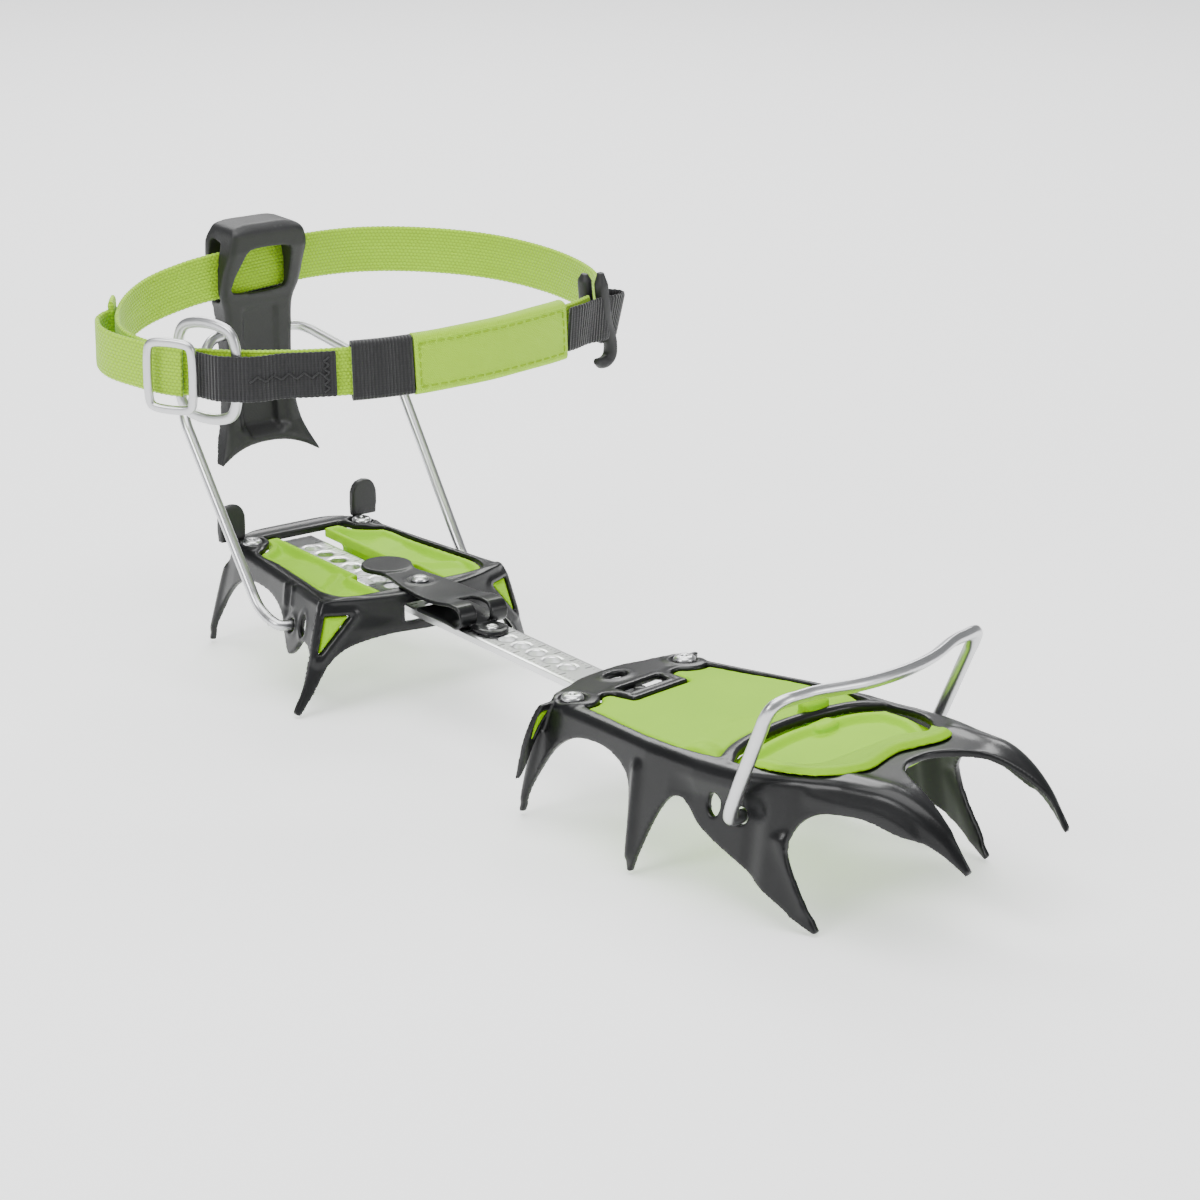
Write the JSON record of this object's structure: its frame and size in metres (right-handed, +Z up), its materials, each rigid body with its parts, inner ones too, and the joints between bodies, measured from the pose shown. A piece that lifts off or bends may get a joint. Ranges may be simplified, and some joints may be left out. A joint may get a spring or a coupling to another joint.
{
  "type": "step-in crampon",
  "caption": "Adjustable step-in crampon: toothed toe and heel frames on a sliding bar, wire toe bail, heel wire with snap lever and ankle strap.",
  "frame": {"origin": "centre of the bounding box at floor level, under the points", "axes": "+X towards the toe along the linking bar, +Y to the wearer's left, +Z up from the floor"},
  "size_m": [0.3666, 0.1624, 0.1375],
  "materials": {
    "steel_black": "semi-gloss black coating",
    "lime": "satin moulded plastic",
    "web_lime": "woven polyester webbing",
    "web_black": "ribbed woven webbing",
    "plastic_black": "fine satin moulding",
    "wire": "drawn stainless wire",
    "bar": "bright milled bar",
    "rivet": "turned rivet head"
  },
  "bodies": {
    "heel_section": {"heel_frame": "steel_black", "heel_pad": "lime", "heel_corner_insert_near": "lime", "heel_corner_insert_far": "lime", "heel_rivet_near": "rivet", "heel_rivet_far": "rivet", "heel_stop_near": "plastic_black", "heel_stop_far": "plastic_black"},
    "bar": {"linking_bar": "bar", "bar_stud": "steel_black"},
    "toe_section": {"toe_frame": "steel_black", "toe_claw_insert_near": "lime", "toe_claw_insert_far": "lime", "toe_pad_rear": "lime", "toe_pad_front": "lime", "toe_rivet_near": "rivet", "toe_rivet_far": "rivet"},
    "toe_binding": {"toe_bail": "wire"},
    "heel_binding": {"heel_wire": "wire"},
    "lever": {"heel_lever": "plastic_black", "strap_main": "web_lime", "strap_ring_loop": "web_lime", "strap_tab_black": "web_black", "strap_keeper": "web_black", "strap_sleeve": "lime", "strap_front_black": "web_black", "d_ring": "wire", "strap_hook": "plastic_black"},
    "clip": {"adjust_clip": "steel_black", "clip_rivet": "rivet", "clip_pin": "rivet"},
    "buckle_ring": {"slider_ring": "wire"}
  },
  "joints": [
    {"name": "length_slide", "type": "slide", "parent": "heel_section", "child": "bar", "axis": [1, 0, 0], "range_m": [-0.025, 0.035]},
    {"name": "toe_turn", "type": "hinge", "parent": "bar", "child": "toe_section", "pos_m": [0.04039, -0.00856, 0.03245], "axis": [0, 0, 1], "range_deg": [-4, 4]},
    {"name": "toe_bail_swing", "type": "hinge", "parent": "toe_section", "child": "toe_binding", "pos_m": [0.11266, 0.0039, 0.02691], "axis": [-0.1582, 0.9874, 0], "range_deg": [-70, 28]},
    {"name": "heel_wire_swing", "type": "hinge", "parent": "heel_section", "child": "heel_binding", "pos_m": [-0.10021, -0.00806, 0.02324], "axis": [0, 1, 0], "range_deg": [-18, 10]},
    {"name": "heel_lever_flip", "type": "hinge", "parent": "heel_binding", "child": "lever", "pos_m": [-0.17601, -0.00806, 0.09995], "axis": [0, 1, 0], "range_deg": [-20, 15]},
    {"name": "clip_press", "type": "hinge", "parent": "heel_section", "child": "clip", "pos_m": [-0.08051, -0.00806, 0.03685], "axis": [0, -1, 0], "range_deg": [0, 8], "stiffness_Nm_per_rad": 0.6},
    {"name": "buckle_ring_swing", "type": "hinge", "parent": "lever", "child": "buckle_ring", "pos_m": [-0.12382, -0.0785, 0.10748], "axis": [0, 0, -1], "range_deg": [0, 25]}
  ]
}
